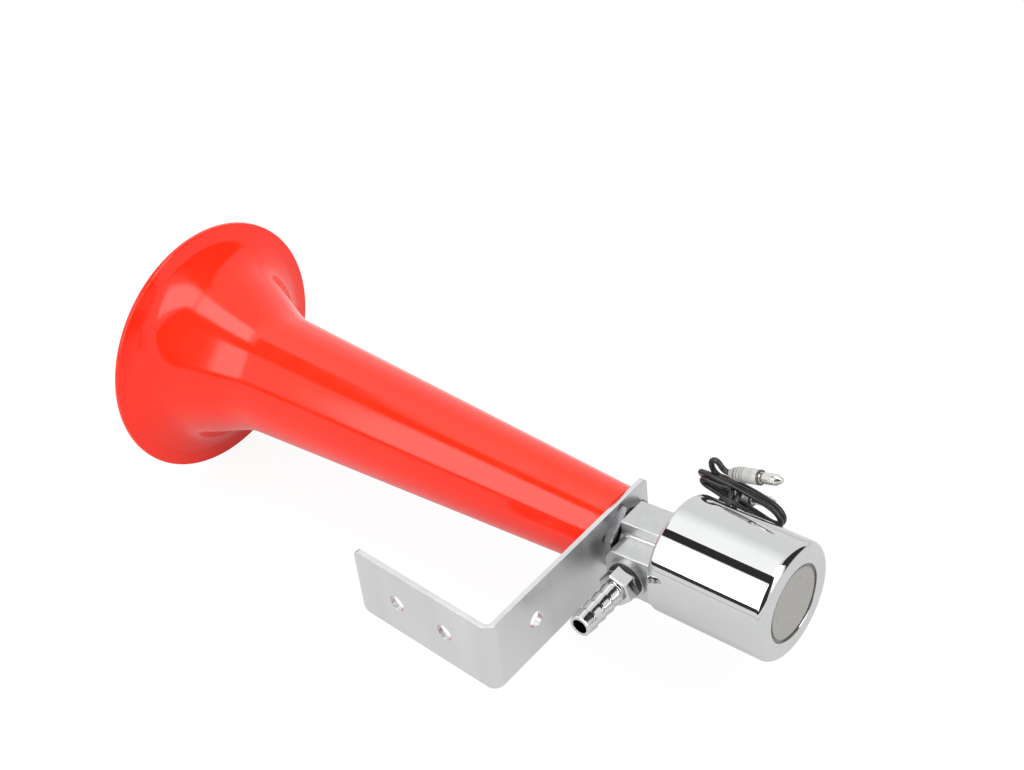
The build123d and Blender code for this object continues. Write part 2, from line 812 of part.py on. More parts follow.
def connector(mouth, direction, letter):
    """A bullet terminal with its insulating sleeve, its mouth on the lead's end."""
    side = Plane(origin=mouth, x_dir=direction, z_dir=direction.cross(up))
    axis = Axis(mouth, direction)
    barrel_radius = sleeve_radius - sleeve_wall
    head_start = sleeve_length + bullet_waist_length
    sleeve = turned(
        side,
        axis,
        [
            (0, lead_radius + core_fit),
            (0, sleeve_mouth_radius),
            (sleeve_taper_length, sleeve_radius),
            (sleeve_length, sleeve_radius),
            (sleeve_length, barrel_radius),
            (sleeve_taper_length, barrel_radius),
        ],
    )
    keep(sleeve, "connector_sleeve_" + letter)
    bullet = turned(
        side,
        axis,
        [
            (0, 0),
            (0, lead_radius - core_fit),
            (sleeve_taper_length, barrel_radius - core_fit),
            (sleeve_length, barrel_radius - core_fit),
            (sleeve_length, bullet_waist_radius),
            (head_start, bullet_waist_radius),
            (head_start, bullet_head_radius),
            (bullet_length - bullet_nose_length, bullet_head_radius),
            (bullet_length, bullet_nose_radius),
            (bullet_length, 0),
        ],
    )
    keep(bullet, "bullet_connector_" + letter)


# Leads, from the grommet into the hank
lead_exit = grommet_seat.origin + grommet_out * grommet_height
exit_a = lead_exit + axis_dir * lead_spacing / 2
exit_b = lead_exit - axis_dir * lead_spacing / 2
lead_tube([exit_a, exit_a + grommet_out * lead_exit_run, Vector(lead_a_end)], "lead_a")
lead_tube([exit_b, exit_b + grommet_out * lead_exit_run, Vector(lead_b_end)], "lead_b")

# The hank: both leads folded into a bundle that opens into an eye
hank_side = can_side.offset(-(can_radius + hank_to_can))
with BuildPart() as hank:
    with BuildSketch(hank_side):
        with Locations(hank_left):
            Circle(hank_left_radius)
        with Locations(hank_middle):
            Circle(hank_middle_radius)
        with Locations(hank_low):
            Circle(hank_low_radius)
        with Locations(hank_right):
            Circle(hank_right_radius)
        make_hull()
    extrude(amount=-hank_thickness)
    flat_sides = hank.faces().filter_by(Axis((0, 0, 0), plate_dir))
    fillet(flat_sides.edges(), radius=hank_edge_radius)
    with BuildSketch(hank_side):
        with Locations(eye_left):
            Circle(eye_left_radius)
        with Locations(eye_middle):
            Circle(eye_middle_radius)
        with Locations(eye_right):
            Circle(eye_right_radius)
        make_hull()
    extrude(amount=-hank_thickness, mode=Mode.SUBTRACT)
keep(hank.part, "lead_hank")

# Tails, from the hank into the connectors
mouth_a = Vector(connector_a_mouth)
mouth_b = Vector(connector_b_mouth)
way_a = pointing(connector_a_slope, connector_a_turn)
way_b = pointing(connector_b_slope, connector_b_turn)
tail_a = [Vector(point) for point in tail_a_points] + [mouth_a - way_a * tail_a_end_run, mouth_a]
tail_b = [Vector(point) for point in tail_b_points] + [mouth_b - way_b * tail_b_end_run, mouth_b]
lead_tube(tail_a, "lead_a_tail")
lead_tube(tail_b, "lead_b_tail")
connector(mouth_a, way_a, "a")
connector(mouth_b, way_b, "b")
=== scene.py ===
import bpy
import json
import math
from mathutils import Euler, Matrix, Vector
from mathutils.geometry import interpolate_bezier


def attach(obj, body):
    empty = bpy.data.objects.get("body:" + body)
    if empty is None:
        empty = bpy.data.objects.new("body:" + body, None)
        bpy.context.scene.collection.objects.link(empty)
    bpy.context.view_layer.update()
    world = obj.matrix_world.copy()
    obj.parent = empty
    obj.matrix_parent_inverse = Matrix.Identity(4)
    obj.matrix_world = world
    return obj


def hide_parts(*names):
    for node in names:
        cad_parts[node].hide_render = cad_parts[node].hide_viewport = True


# An electro-pneumatic horn. The frame's X runs nearly along the trumpet, which opens towards -X.
# The settings of turned and copied pieces are in mm; cords, floor, lamps and camera are in metres.
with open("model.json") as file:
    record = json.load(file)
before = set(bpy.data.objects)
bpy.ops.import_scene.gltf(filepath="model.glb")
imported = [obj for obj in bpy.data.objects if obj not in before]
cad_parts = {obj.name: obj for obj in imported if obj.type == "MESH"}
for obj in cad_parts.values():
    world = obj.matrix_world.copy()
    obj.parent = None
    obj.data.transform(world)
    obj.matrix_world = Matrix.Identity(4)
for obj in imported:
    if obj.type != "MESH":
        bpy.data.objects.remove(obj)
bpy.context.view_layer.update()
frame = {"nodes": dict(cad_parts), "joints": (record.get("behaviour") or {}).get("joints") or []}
nodes = frame["nodes"]
mm = 0.001
print("frame loaded,", len(nodes), "nodes")

# The horn's axis comes from the plunger's slide. Stations count from the bracket plate's rear face.
places = {"bendCorner": (34.8, 0, 0), "throatFromBend": 76.5, "canAside": 1.6, "canAbove": 1.2}
axisDir = Vector(frame["joints"][0]["axis"]).normalized()
sideDir = Vector((-axisDir.y, axisDir.x, 0))
upDir = Vector((0, 0, 1))
throatPoint = Vector(places["bendCorner"]) * mm + sideDir * places["throatFromBend"] * mm
canPoint = throatPoint + sideDir * places["canAside"] * mm + upDir * places["canAbove"] * mm

# how meshes are merged (m), flattened (degrees) and softened
meshWork = {
    "merge": 0.00001,
    "copyMerge": 0.000005,
    "flatWithin": 0.4,
    "edgeSegments": 3,
    "copySegments": 2,
    "faceWeight": 100,
}


def deselectAll():
    if bpy.context.object and bpy.context.object.mode != "OBJECT":
        bpy.ops.object.mode_set(mode="OBJECT")
    bpy.ops.object.select_all(action="DESELECT")


def pickOnly(piece):
    deselectAll()
    piece.select_set(True)
    bpy.context.view_layer.objects.active = piece


def addObject(name, data):
    added = bpy.data.objects.new(name, data)
    bpy.context.scene.collection.objects.link(added)
    return added


def smoothRun(start, startPull, endPull, end, count):
    # points of one Bezier stretch in (station, radius), without its first point
    ends = [Vector((p[0], p[1], 0)) for p in (start, startPull, endPull, end)]
    run = interpolate_bezier(ends[0], ends[1], ends[2], ends[3], count)
    return [(p.x, p.y) for p in run[1:]]


def roundCorner(centre, radius, fromAngle, toAngle, count):
    # points of an arc, angles in degrees from the axis towards the outside
    turn = (toAngle - fromAngle) / count
    angles = [math.radians(fromAngle + turn * i) for i in range(count + 1)]
    return [(centre[0] + radius * math.cos(a), centre[1] + radius * math.sin(a)) for a in angles]


def softenEdges(piece, width, angle, segments=meshWork["edgeSegments"], weighted=False):
    pickOnly(piece)
    if width > 0:
        bevel = piece.modifiers.new("edges", "BEVEL")
        bevel.width = width * mm
        bevel.segments = segments
        bevel.limit_method = "ANGLE"
        bevel.angle_limit = math.radians(angle)
        bpy.ops.object.modifier_apply(modifier=bevel.name)
    bpy.ops.object.shade_smooth_by_angle(angle=math.radians(angle))
    if weighted:
        flatten = piece.modifiers.new("flatFaces", "WEIGHTED_NORMAL")
        flatten.weight = meshWork["faceWeight"]
        flatten.keep_sharp = True
        bpy.ops.object.modifier_apply(modifier=flatten.name)


def turnOutline(name, outline, origin, along, aside, steps, closed):
    # a half section in mm, (station, radius), spun about the axis through origin
    deselectAll()
    bpy.ops.mesh.primitive_circle_add(vertices=len(outline), radius=0.01)
    piece = bpy.context.object
    piece.name = name
    piece.data.name = name
    for vert, (station, radius) in zip(piece.data.vertices, outline):
        vert.co = origin + along * station * mm + aside * radius * mm
    bpy.ops.object.mode_set(mode="EDIT")
    if not closed:  # a section that ends on the axis loses the edge that lies on it
        bpy.ops.mesh.select_mode(type="EDGE")
        bpy.ops.mesh.select_all(action="DESELECT")
        bpy.ops.object.mode_set(mode="OBJECT")
        axisEdge = [e for e in piece.data.edges if set(e.vertices) == {0, len(outline) - 1}][0]
        axisEdge.select = True
        bpy.ops.object.mode_set(mode="EDIT")
        bpy.ops.mesh.delete(type="EDGE_FACE")
    bpy.ops.mesh.select_mode(type="VERT")
    bpy.ops.mesh.select_all(action="SELECT")
    bpy.ops.mesh.spin(steps=steps, angle=math.tau, center=origin, axis=along)
    bpy.ops.mesh.select_all(action="SELECT")
    bpy.ops.mesh.remove_doubles(threshold=meshWork["merge"])
    bpy.ops.mesh.normals_make_consistent(inside=False)
    bpy.ops.object.mode_set(mode="OBJECT")
    return piece


def finishCopy(node, name, width, angle):
    # a copy of a CAD node's mesh with merged corners and softened edges
    deselectAll()
    piece = addObject(name, nodes[node].data.copy())
    pickOnly(piece)
    bpy.ops.object.mode_set(mode="EDIT")
    bpy.ops.mesh.select_all(action="SELECT")
    bpy.ops.mesh.remove_doubles(threshold=meshWork["copyMerge"])
    bpy.ops.mesh.dissolve_limited(angle_limit=math.radians(meshWork["flatWithin"]))
    bpy.ops.object.mode_set(mode="OBJECT")
    softenEdges(piece, width, angle, meshWork["copySegments"], True)
    return piece


def dress(piece, material, replaced):
    piece.data.materials.clear()
    piece.data.materials.append(material)
    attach(piece, "horn")
    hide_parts(*replaced)
    print("made", piece.name)


# Materials: a "grain" group gives noise over the piece, and each finish places it twice.
grainFacts = {
    "scale": 900.0,
    "detail": 3.0,
    "fromLow": 0.3,
    "fromHigh": 0.7,
    "tintScale": 0.25,
    "roughDetail": 4.0,
    "bumpDepth": 0.0001,
}


def newMaterial(name):
    material = bpy.data.materials.new(name)
    material.use_nodes = True
    return material, material.node_tree


def makeGrainGroup(s):
    # noise over the piece, as a mask from Low to High and as a height for bump
    group = bpy.data.node_groups.new("grain", "ShaderNodeTree")
    for label, default in (("Scale", s["scale"]), ("Detail", s["detail"]), ("Low", 0.0), ("High", 1.0)):
        socket = group.interface.new_socket(label, in_out="INPUT", socket_type="NodeSocketFloat")
        socket.default_value = default
    stretch = group.interface.new_socket("Stretch", in_out="INPUT", socket_type="NodeSocketVector")
    stretch.default_value = (1.0, 1.0, 1.0)
    for label in ("Mask", "Height"):
        group.interface.new_socket(label, in_out="OUTPUT", socket_type="NodeSocketFloat")
    inside = group.nodes.new("NodeGroupInput")
    outside = group.nodes.new("NodeGroupOutput")
    place = group.nodes.new("ShaderNodeTexCoord")
    scaled = group.nodes.new("ShaderNodeVectorMath")
    scaled.operation = "MULTIPLY"
    noise = group.nodes.new("ShaderNodeTexNoise")
    spread = group.nodes.new("ShaderNodeMapRange")
    spread.inputs["From Min"].default_value = s["fromLow"]
    spread.inputs["From Max"].default_value = s["fromHigh"]
    group.links.new(place.outputs["Object"], scaled.inputs[0])
    group.links.new(inside.outputs["Stretch"], scaled.inputs[1])
    group.links.new(scaled.outputs[0], noise.inputs["Vector"])
    group.links.new(inside.outputs["Scale"], noise.inputs["Scale"])
    group.links.new(inside.outputs["Detail"], noise.inputs["Detail"])
    group.links.new(noise.outputs["Fac"], spread.inputs["Value"])
    group.links.new(inside.outputs["Low"], spread.inputs["To Min"])
    group.links.new(inside.outputs["High"], spread.inputs["To Max"])
    group.links.new(spread.outputs["Result"], outside.inputs["Mask"])
    group.links.new(noise.outputs["Fac"], outside.inputs["Height"])
    return group


grainGroup = makeGrainGroup(grainFacts)


def addGrain(tree, scale, detail, low, high, stretch):
    grain = tree.nodes.new("ShaderNodeGroup")
    grain.node_tree = grainGroup
    grain.inputs["Scale"].default_value = scale
    grain.inputs["Detail"].default_value = detail
    grain.inputs["Low"].default_value = low
    grain.inputs["High"].default_value = high
    grain.inputs["Stretch"].default_value = stretch
    return grain


def addMath(tree, operation, amount=None):
    step = tree.nodes.new("ShaderNodeMath")
    step.operation = operation
    if amount is not None:
        step.inputs[1].default_value = amount
    return step


def plainFinish(name, s):
    # tint and roughness wander a little over the surface, with a fine bump under them
    material, tree = newMaterial(name)
    shader = tree.nodes["Principled BSDF"]
    stretch = s.get("stretch", (1, 1, 1))
    low, high = s["rough"] - s["roughSpread"], s["rough"] + s["roughSpread"]
    shader.inputs["Metallic"].default_value = s["metallic"]
    shader.inputs["Specular IOR Level"].default_value = s.get("specular", 0.5)
    tintScale = s["scale"] * grainFacts["tintScale"]
    tintGrain = addGrain(tree, tintScale, grainFacts["detail"], 0.0, 1.0, stretch)
    tint = tree.nodes.new("ShaderNodeMix")
    tint.data_type = "RGBA"
    tint.inputs["A"].default_value = (*s["dark"], 1)
    tint.inputs["B"].default_value = (*s["light"], 1)
    tree.links.new(tintGrain.outputs["Mask"], tint.inputs["Factor"])
    tree.links.new(tint.outputs["Result"], shader.inputs["Base Color"])
    roughGrain = addGrain(tree, s["scale"], grainFacts["roughDetail"], low, high, stretch)
    tree.links.new(roughGrain.outputs["Mask"], shader.inputs["Roughness"])
    bump = tree.nodes.new("ShaderNodeBump")
    bump.inputs["Strength"].default_value = s["bump"]
    bump.inputs["Distance"].default_value = grainFacts["bumpDepth"]
    tree.links.new(roughGrain.outputs["Height"], bump.inputs["Height"])
    tree.links.new(bump.outputs["Normal"], shader.inputs["Normal"])
    return material


finishes = {
    "redPlastic": {
        "dark": (0.88, 0.019, 0.003), "light": (0.92, 0.023, 0.005), "metallic": 0.0,
        "rough": 0.14, "roughSpread": 0.03, "scale": 120, "bump": 0.05, "specular": 0.45,
    },
    "zincPlate": {
        "dark": (0.64, 0.645, 0.65), "light": (0.71, 0.715, 0.72), "metallic": 1.0,
        "rough": 0.34, "roughSpread": 0.05, "scale": 300, "bump": 0.25, "stretch": (1, 1, 0.2),
    },
    "nutZinc": {
        "dark": (0.30, 0.30, 0.31), "light": (0.38, 0.38, 0.39), "metallic": 1.0,
        "rough": 0.24, "roughSpread": 0.04, "scale": 500, "bump": 0.06,
    },
    "dieCast": {
        "dark": (0.54, 0.545, 0.55), "light": (0.59, 0.595, 0.60), "metallic": 1.0,
        "rough": 0.34, "roughSpread": 0.04, "scale": 1400, "bump": 0.15,
    },
    "chromedSteel": {
        "dark": (0.62, 0.625, 0.63), "light": (0.64, 0.645, 0.65), "metallic": 1.0,
        "rough": 0.035, "roughSpread": 0.015, "scale": 260, "bump": 0.02,
    },
    "chromedBrass": {
        "dark": (0.60, 0.605, 0.61), "light": (0.66, 0.665, 0.67), "metallic": 1.0,
        "rough": 0.08, "roughSpread": 0.03, "scale": 900, "bump": 0.05,
    },
    "greyDisc": {
        "dark": (0.305, 0.295, 0.275), "light": (0.33, 0.32, 0.30), "metallic": 0.0,
        "rough": 0.5, "roughSpread": 0.06, "scale": 1800, "bump": 0.25,
    },
    "blackRubber": {
        "dark": (0.012, 0.012, 0.012), "light": (0.022, 0.021, 0.021), "metallic": 0.0,
        "rough": 0.5, "roughSpread": 0.08, "scale": 1500, "bump": 0.3,
    },
    "leadSheath": {
        "dark": (0.010, 0.010, 0.010), "light": (0.020, 0.019, 0.019), "metallic": 0.0,
        "rough": 0.3, "roughSpread": 0.05, "scale": 1200, "bump": 0.15,
    },
    "tinnedBrass": {
        "dark": (0.66, 0.65, 0.60), "light": (0.78, 0.77, 0.72), "metallic": 1.0,
        "rough": 0.22, "roughSpread": 0.06, "scale": 1200, "bump": 0.15,
    },
    "innerMetal": {
        "dark": (0.45, 0.45, 0.46), "light": (0.55, 0.55, 0.56), "metallic": 1.0,
        "rough": 0.3, "roughSpread": 0.05, "scale": 1200, "bump": 0.1,
    },
    "copperWire": {
        "dark": (0.55, 0.20, 0.09), "light": (0.66, 0.28, 0.14), "metallic": 1.0,
        "rough": 0.3, "roughSpread": 0.06, "scale": 2400, "bump": 0.4, "stretch": (0.2, 1, 1),
    },
    "brassTube": {
        "dark": (0.66, 0.50, 0.22), "light": (0.74, 0.58, 0.28), "metallic": 1.0,
        "rough": 0.22, "roughSpread": 0.05, "scale": 1200, "bump": 0.1,
    },
    "bobbinPlastic": {
        "dark": (0.05, 0.05, 0.05), "light": (0.07, 0.07, 0.07), "metallic": 0.0,
        "rough": 0.45, "roughSpread": 0.05, "scale": 1200, "bump": 0.1,
    },
}
looks = {name: plainFinish(name, facts) for name, facts in finishes.items()}
print("materials made")

# the valve's inner pieces stay as the CAD has them
innerFinish = {
    "diaphragm_gasket": "blackRubber",
    "diaphragm": "blackRubber",
    "valve_plate": "innerMetal",
    "guide_tube": "brassTube",
    "guide_tube_seal": "blackRubber",
    "plunger": "innerMetal",
    "plunger_seal": "blackRubber",
    "return_spring": "innerMetal",
    "fixed_core": "innerMetal",
    "coil_bobbin": "bobbinPlastic",
    "coil_winding": "copperWire",
    "rear_flux_plate": "innerMetal",
}
for nodeName, lookName in innerFinish.items():
    mesh = nodes[nodeName].data
    mesh.materials.clear()
    mesh.materials.append(looks[lookName])
print("inner pieces finished")

# The trumpet: tube, flare, brim and lip outside, then back inside to the socket. Its runs are Bezier
# stretches, each of two pulls and an end.
trumpetSizes = {
    "neck": (-2.0, 16.1),
    "tubeEnd": (-173.0, 25.0),
    "tubeRings": 12,
    "flareRuns": [
        ((-179.14, 25.32), (-184.02, 27.23), (-188.96, 29.41)),
        ((-192.52, 30.98), (-196.1, 32.69), (-199.73, 34.51)),
        ((-202.3, 35.8), (-204.89, 37.15), (-206.91, 38.92)),
        ((-209.57, 41.24), (-211.26, 44.27), (-212.9, 48.2)),
    ],
    "mouth": -215.7,
    "rimRadius": 54.1,
    "brimThickness": 2.2,
    "rimRound": 0.6,
    "lipRadius": 50.1,
    "innerRuns": [
        ((-213.94, 45.08), (-211.68, 40.47), (-208.11, 37.3)),
        ((-205.98, 35.4), (-203.38, 34.01), (-200.53, 32.66)),
        ((-196.7, 30.84), (-192.42, 29.07), (-189.76, 27.55)),
        ((-185.88, 25.34), (-185.46, 23.65), (-173.0, 23.0)),
    ],
    "boreStart": (-36.0, 12.1),
    "socket": (-19.0, 6.65),
    "runPoints": 9,
    "roundPoints": 5,
    "steps": 160,
    "shadeAngle": 35,
}


def makeTrumpet(s):
    outline = [s["neck"]]
    for ring in range(1, s["tubeRings"] + 1):
        outline.append(tuple(a + (b - a) * ring / s["tubeRings"] for a, b in zip(s["neck"], s["tubeEnd"])))
    for run in s["flareRuns"]:
        outline += smoothRun(outline[-1], *run, s["runPoints"])
    brim, rim, turn = s["mouth"] + s["brimThickness"], s["rimRadius"], s["rimRound"]
    outline += roundCorner((brim - turn, rim - turn), turn, 0, 90, s["roundPoints"])
    outline += roundCorner((s["mouth"] + turn, rim - turn), turn, 90, 180, s["roundPoints"])
    outline.append((s["mouth"], s["lipRadius"]))
    for run in s["innerRuns"]:
        outline += smoothRun(outline[-1], *run, s["runPoints"])
    outline += [s["boreStart"], s["socket"], (s["neck"][0], s["socket"][1])]
    piece = turnOutline("trumpetShell", outline, throatPoint, axisDir, upDir, s["steps"], True)
    softenEdges(piece, 0.0, s["shadeAngle"])
    return piece


dress(makeTrumpet(trumpetSizes), looks["redPlastic"], ["trumpet"])

# bracket, nut, body and inlet: the node, its edge round, the angle of its edges, finish and slot
copies = {
    "bracketStrip": ("mounting_bracket", 0.3, 40, "zincPlate", "zinc_plated_steel"),
    "throatNut": ("throat_nut", 0.35, 30, "nutZinc", "zinc_plated_nut"),
    "bodyCasting": ("valve_body", 0.25, 30, "dieCast", "die_cast_zinc"),
    "inletWasher": ("inlet_washer", 0.1, 30, "blackRubber", "seal_rubber"),
    "inletBarb": ("hose_barb", 0.12, 30, "chromedBrass", "chromed_brass"),
    "leadGrommet": ("lead_grommet", 0.0, 35, "blackRubber", "black_rubber"),
}
for pieceName, (nodeName, width, angle, lookName, slotName) in copies.items():
    dress(finishCopy(nodeName, pieceName, width, angle), looks[lookName], [nodeName])

# The can: "hold" is how far past a round the next ring lies, which keeps long faces flat in shading.
canSizes = {
    "front": 23.7,
    "length": 47.3,
    "radius": 22.5,
    "wall": 1.2,
    "frontOpening": 19.5,
    "rearOpening": 14.9,
    "frontEdge": 1.8,
    "frontPoints": 10,
    "rearEdge": 2.6,
    "rearPoints": 14,
    "grooveDepth": 1.4,
    "openingEdge": 0.35,
    "openingPoints": 4,
    "hold": 0.4,
    "steps": 192,
    "shadeAngle": 32,
}


def makeCan(s):
    front, radius, hold = s["front"], s["radius"], s["hold"]
    rear = front + s["length"]
    frontFace = front + s["wall"]
    innerRadius = radius - s["wall"]
    frontEdge, rearEdge, openingEdge = s["frontEdge"], s["rearEdge"], s["openingEdge"]
    openingRound = (rear - openingEdge, s["rearOpening"] + openingEdge)
    outline = [(front, s["frontOpening"])]
    outline += roundCorner((front + frontEdge, radius - frontEdge), frontEdge, 180, 90, s["frontPoints"])
    outline += [(front + frontEdge + hold, radius), (rear - rearEdge - hold, radius)]
    outline += roundCorner((rear - rearEdge, radius - rearEdge), rearEdge, 90, 0, s["rearPoints"])
    outline += [(rear, radius - rearEdge - hold), (rear, openingRound[1] + hold)]
    outline += roundCorner(openingRound, openingEdge, 0, -90, s["openingPoints"])
    outline += [(rear - s["grooveDepth"], s["rearOpening"]), (rear - s["grooveDepth"], innerRadius)]
    outline += [(frontFace, innerRadius), (frontFace, s["frontOpening"])]
    piece = turnOutline("canShell", outline, canPoint, axisDir, upDir, s["steps"], True)
    softenEdges(piece, 0.0, s["shadeAngle"])
    return piece


dress(makeCan(canSizes), looks["chromedSteel"], ["solenoid_can"])

discSizes = {
    "front": 66.6,
    "base": 3.0,
    "baseRadius": 21.0,
    "rear": 70.7,
    "radius": 13.7,
    "edge": 0.35,
    "edgePoints": 4,
    "hold": 0.4,
    "steps": 128,
    "shadeAngle": 30,
}


def makeDisc(s):
    step, rim = s["front"] + s["base"], s["radius"] - s["edge"]
    outline = [(s["front"], 0), (s["front"], s["baseRadius"]), (step, s["baseRadius"]), (step, s["radius"])]
    outline += roundCorner((s["rear"] - s["edge"], rim), s["edge"], 90, 0, s["edgePoints"])
    outline += [(s["rear"], rim - s["hold"]), (s["rear"], 0)]
    piece = turnOutline("endDisc", outline, canPoint, axisDir, upDir, s["steps"], False)
    softenEdges(piece, 0.0, s["shadeAngle"])
    return piece


dress(makeDisc(discSizes), looks["greyDisc"], ["end_disc"])

# The connectors: stations count from the sleeve's mouth, where the lead goes in.
connectorSizes = {
    "sleeveLength": 13.4,
    "sleeveRadius": 2.85,
    "mouthRadius": 1.9,
    "taper": 3.6,
    "wall": 0.7,
    "leadRadius": 1.1,
    "play": 0.05,
    "bulletLength": 22.3,
    "headRadius": 2.1,
    "waistRadius": 1.75,
    "waistLength": 1.2,
    "noseRadius": 1.0,
    "noseLength": 2.4,
    "edge": 0.15,
    "steps": 48,
    "shadeAngle": 20,
}
# each sleeve's mouth, and its way by degrees above level and degrees turned from the horn's axis
connectorPlaces = {
    "A": {"mouth": (56.4, 105.6, 21.8), "slope": 17.0, "turn": 0.0},
    "B": {"mouth": (48.5, 109.9, 5.0), "slope": 11.2, "turn": 4.7},
}


def pointing(slope, turn):
    level = Matrix.Rotation(math.radians(turn), 3, "Z") @ axisDir
    return level * math.cos(math.radians(slope)) + upDir * math.sin(math.radians(slope))


def makeSleeve(letter, mouth, way, s):
    barrel = s["sleeveRadius"] - s["wall"]
    outline = [(0, s["leadRadius"] + s["play"]), (0, s["mouthRadius"]), (s["taper"], s["sleeveRadius"])]
    outline += [(s["sleeveLength"], s["sleeveRadius"]), (s["sleeveLength"], barrel), (s["taper"], barrel)]
    side = way.cross(upDir).normalized()
    sleeve = turnOutline("sleeve" + letter, outline, mouth, way, side, s["steps"], True)
    softenEdges(sleeve, s["edge"], s["shadeAngle"])
    return sleeve


def makeBullet(letter, mouth, way, s):
    barrel = s["sleeveRadius"] - s["wall"] - s["play"]
    headStart = s["sleeveLength"] + s["waistLength"]
    outline = [(0, 0), (0, s["leadRadius"] - s["play"]), (s["taper"], barrel), (s["sleeveLength"], barrel)]
    outline += [(s["sleeveLength"], s["waistRadius"]), (headStart, s["waistRadius"])]
    outline += [(headStart, s["headRadius"]), (s["bulletLength"] - s["noseLength"], s["headRadius"])]
    outline += [(s["bulletLength"], s["noseRadius"]), (s["bulletLength"], 0)]
    side = way.cross(upDir).normalized()
    bullet = turnOutline("bullet" + letter, outline, mouth, way, side, s["steps"], False)
    softenEdges(bullet, s["edge"], s["shadeAngle"])
    return bullet


# The sleeves carry painted shade: four dark rings stand for the shade in the sleeve's grooves, and a
# dark band at its end is a painted shadow of the gap to the bullet. A ring stop is (share of the sleeve's
# length, how dark).
sleeveFinish = {
    "dark": (0.38, 0.38, 0.365), "light": (0.50, 0.50, 0.48), "metallic": 0.0,
    "rough": 0.16, "roughSpread": 0.04, "scale": 900, "bump": 0.1,
    "paintedShadeColour": (0.05, 0.05, 0.05, 1),
    "paintedShadeStops": [
        (0.0, 0.1), (0.14, 0.1), (0.17, 0.8), (0.20, 0.8), (0.23, 0.1), (0.27, 0.1),
        (0.30, 0.8), (0.33, 0.1), (0.37, 0.1), (0.40, 0.75), (0.43, 0.1), (0.48, 0.5),
        (0.52, 0.05), (0.93, 0.0), (0.95, 0.95), (1.0, 0.95),
    ],
}


# paints the rings of groove shade and the gap's shadow band along the sleeve, counted from its mouth
def ringShadeFinish(name, mouth, way, s):
    material = plainFinish(name, s)
    tree = material.node_tree
    baseColour = tree.nodes["Principled BSDF"].inputs["Base Color"]
    tinted = baseColour.links[0].from_socket
    place = tree.nodes.new("ShaderNodeTexCoord")
    fromMouth = tree.nodes.new("ShaderNodeVectorMath")
    fromMouth.operation = "SUBTRACT"
    fromMouth.inputs[1].default_value = mouth
    along = tree.nodes.new("ShaderNodeVectorMath")
    along.operation = "DOT_PRODUCT"
    along.inputs[1].default_value = way
    share = addMath(tree, "MULTIPLY", 1 / (connectorSizes["sleeveLength"] * mm))
    ramp = tree.nodes.new("ShaderNodeValToRGB")
    ramp.color_ramp.interpolation = "LINEAR"
    while len(ramp.color_ramp.elements) < len(s["paintedShadeStops"]):
        ramp.color_ramp.elements.new(0.5)
    for element, (position, level) in zip(ramp.color_ramp.elements, s["paintedShadeStops"]):
        element.position = position
        element.color = (level, level, level, 1)
    # painted shade: the dark rings and the end band are mixed over the sleeve's tint here
    rings = tree.nodes.new("ShaderNodeMix")
    rings.data_type = "RGBA"
    rings.inputs["B"].default_value = s["paintedShadeColour"]
    tree.links.new(place.outputs["Object"], fromMouth.inputs[0])
    tree.links.new(fromMouth.outputs["Vector"], along.inputs[0])
    tree.links.new(along.outputs["Value"], share.inputs[0])
    tree.links.new(share.outputs[0], ramp.inputs["Fac"])
    tree.links.new(ramp.outputs["Color"], rings.inputs["Factor"])
    tree.links.new(tinted, rings.inputs["A"])
    tree.links.new(rings.outputs["Result"], baseColour)
    return material


mouthA = Vector(connectorPlaces["A"]["mouth"]) * mm
mouthB = Vector(connectorPlaces["B"]["mouth"]) * mm
wayA = pointing(connectorPlaces["A"]["slope"], connectorPlaces["A"]["turn"])
wayB = pointing(connectorPlaces["B"]["slope"], connectorPlaces["B"]["turn"])
sleeveA = makeSleeve("A", mouthA, wayA, connectorSizes)
bulletA = makeBullet("A", mouthA, wayA, connectorSizes)
sleeveB = makeSleeve("B", mouthB, wayB, connectorSizes)
bulletB = makeBullet("B", mouthB, wayB, connectorSizes)
ringsA = ringShadeFinish("clearSleeveA", mouthA, wayA, sleeveFinish)
ringsB = ringShadeFinish("clearSleeveB", mouthB, wayB, sleeveFinish)
dress(sleeveA, ringsA, ["connector_sleeve_a"])
dress(sleeveB, ringsB, ["connector_sleeve_b"])
dress(bulletA, looks["tinnedBrass"], ["bullet_connector_a"])
dress(bulletB, looks["tinnedBrass"], ["bullet_connector_b"])

# The leads start side by side in the grommet, "angle" degrees above level on the can's side.
grommetPlace = {"fromCanFront": 7.6, "angle": 26.0, "height": 1.8, "leadSpacing": 2.6, "exitRun": 2.6}
grommetAngle = math.radians(grommetPlace["angle"])
grommetOut = sideDir * math.cos(grommetAngle) + upDir * math.sin(grommetAngle)
grommetTop = canPoint + axisDir * (canSizes["front"] + grommetPlace["fromCanFront"]) * mm
grommetTop = grommetTop + grommetOut * (canSizes["radius"] + grommetPlace["height"]) * mm
exitA = grommetTop + axisDir * grommetPlace["leadSpacing"] / 2 * mm
exitB = grommetTop - axisDir * grommetPlace["leadSpacing"] / 2 * mm

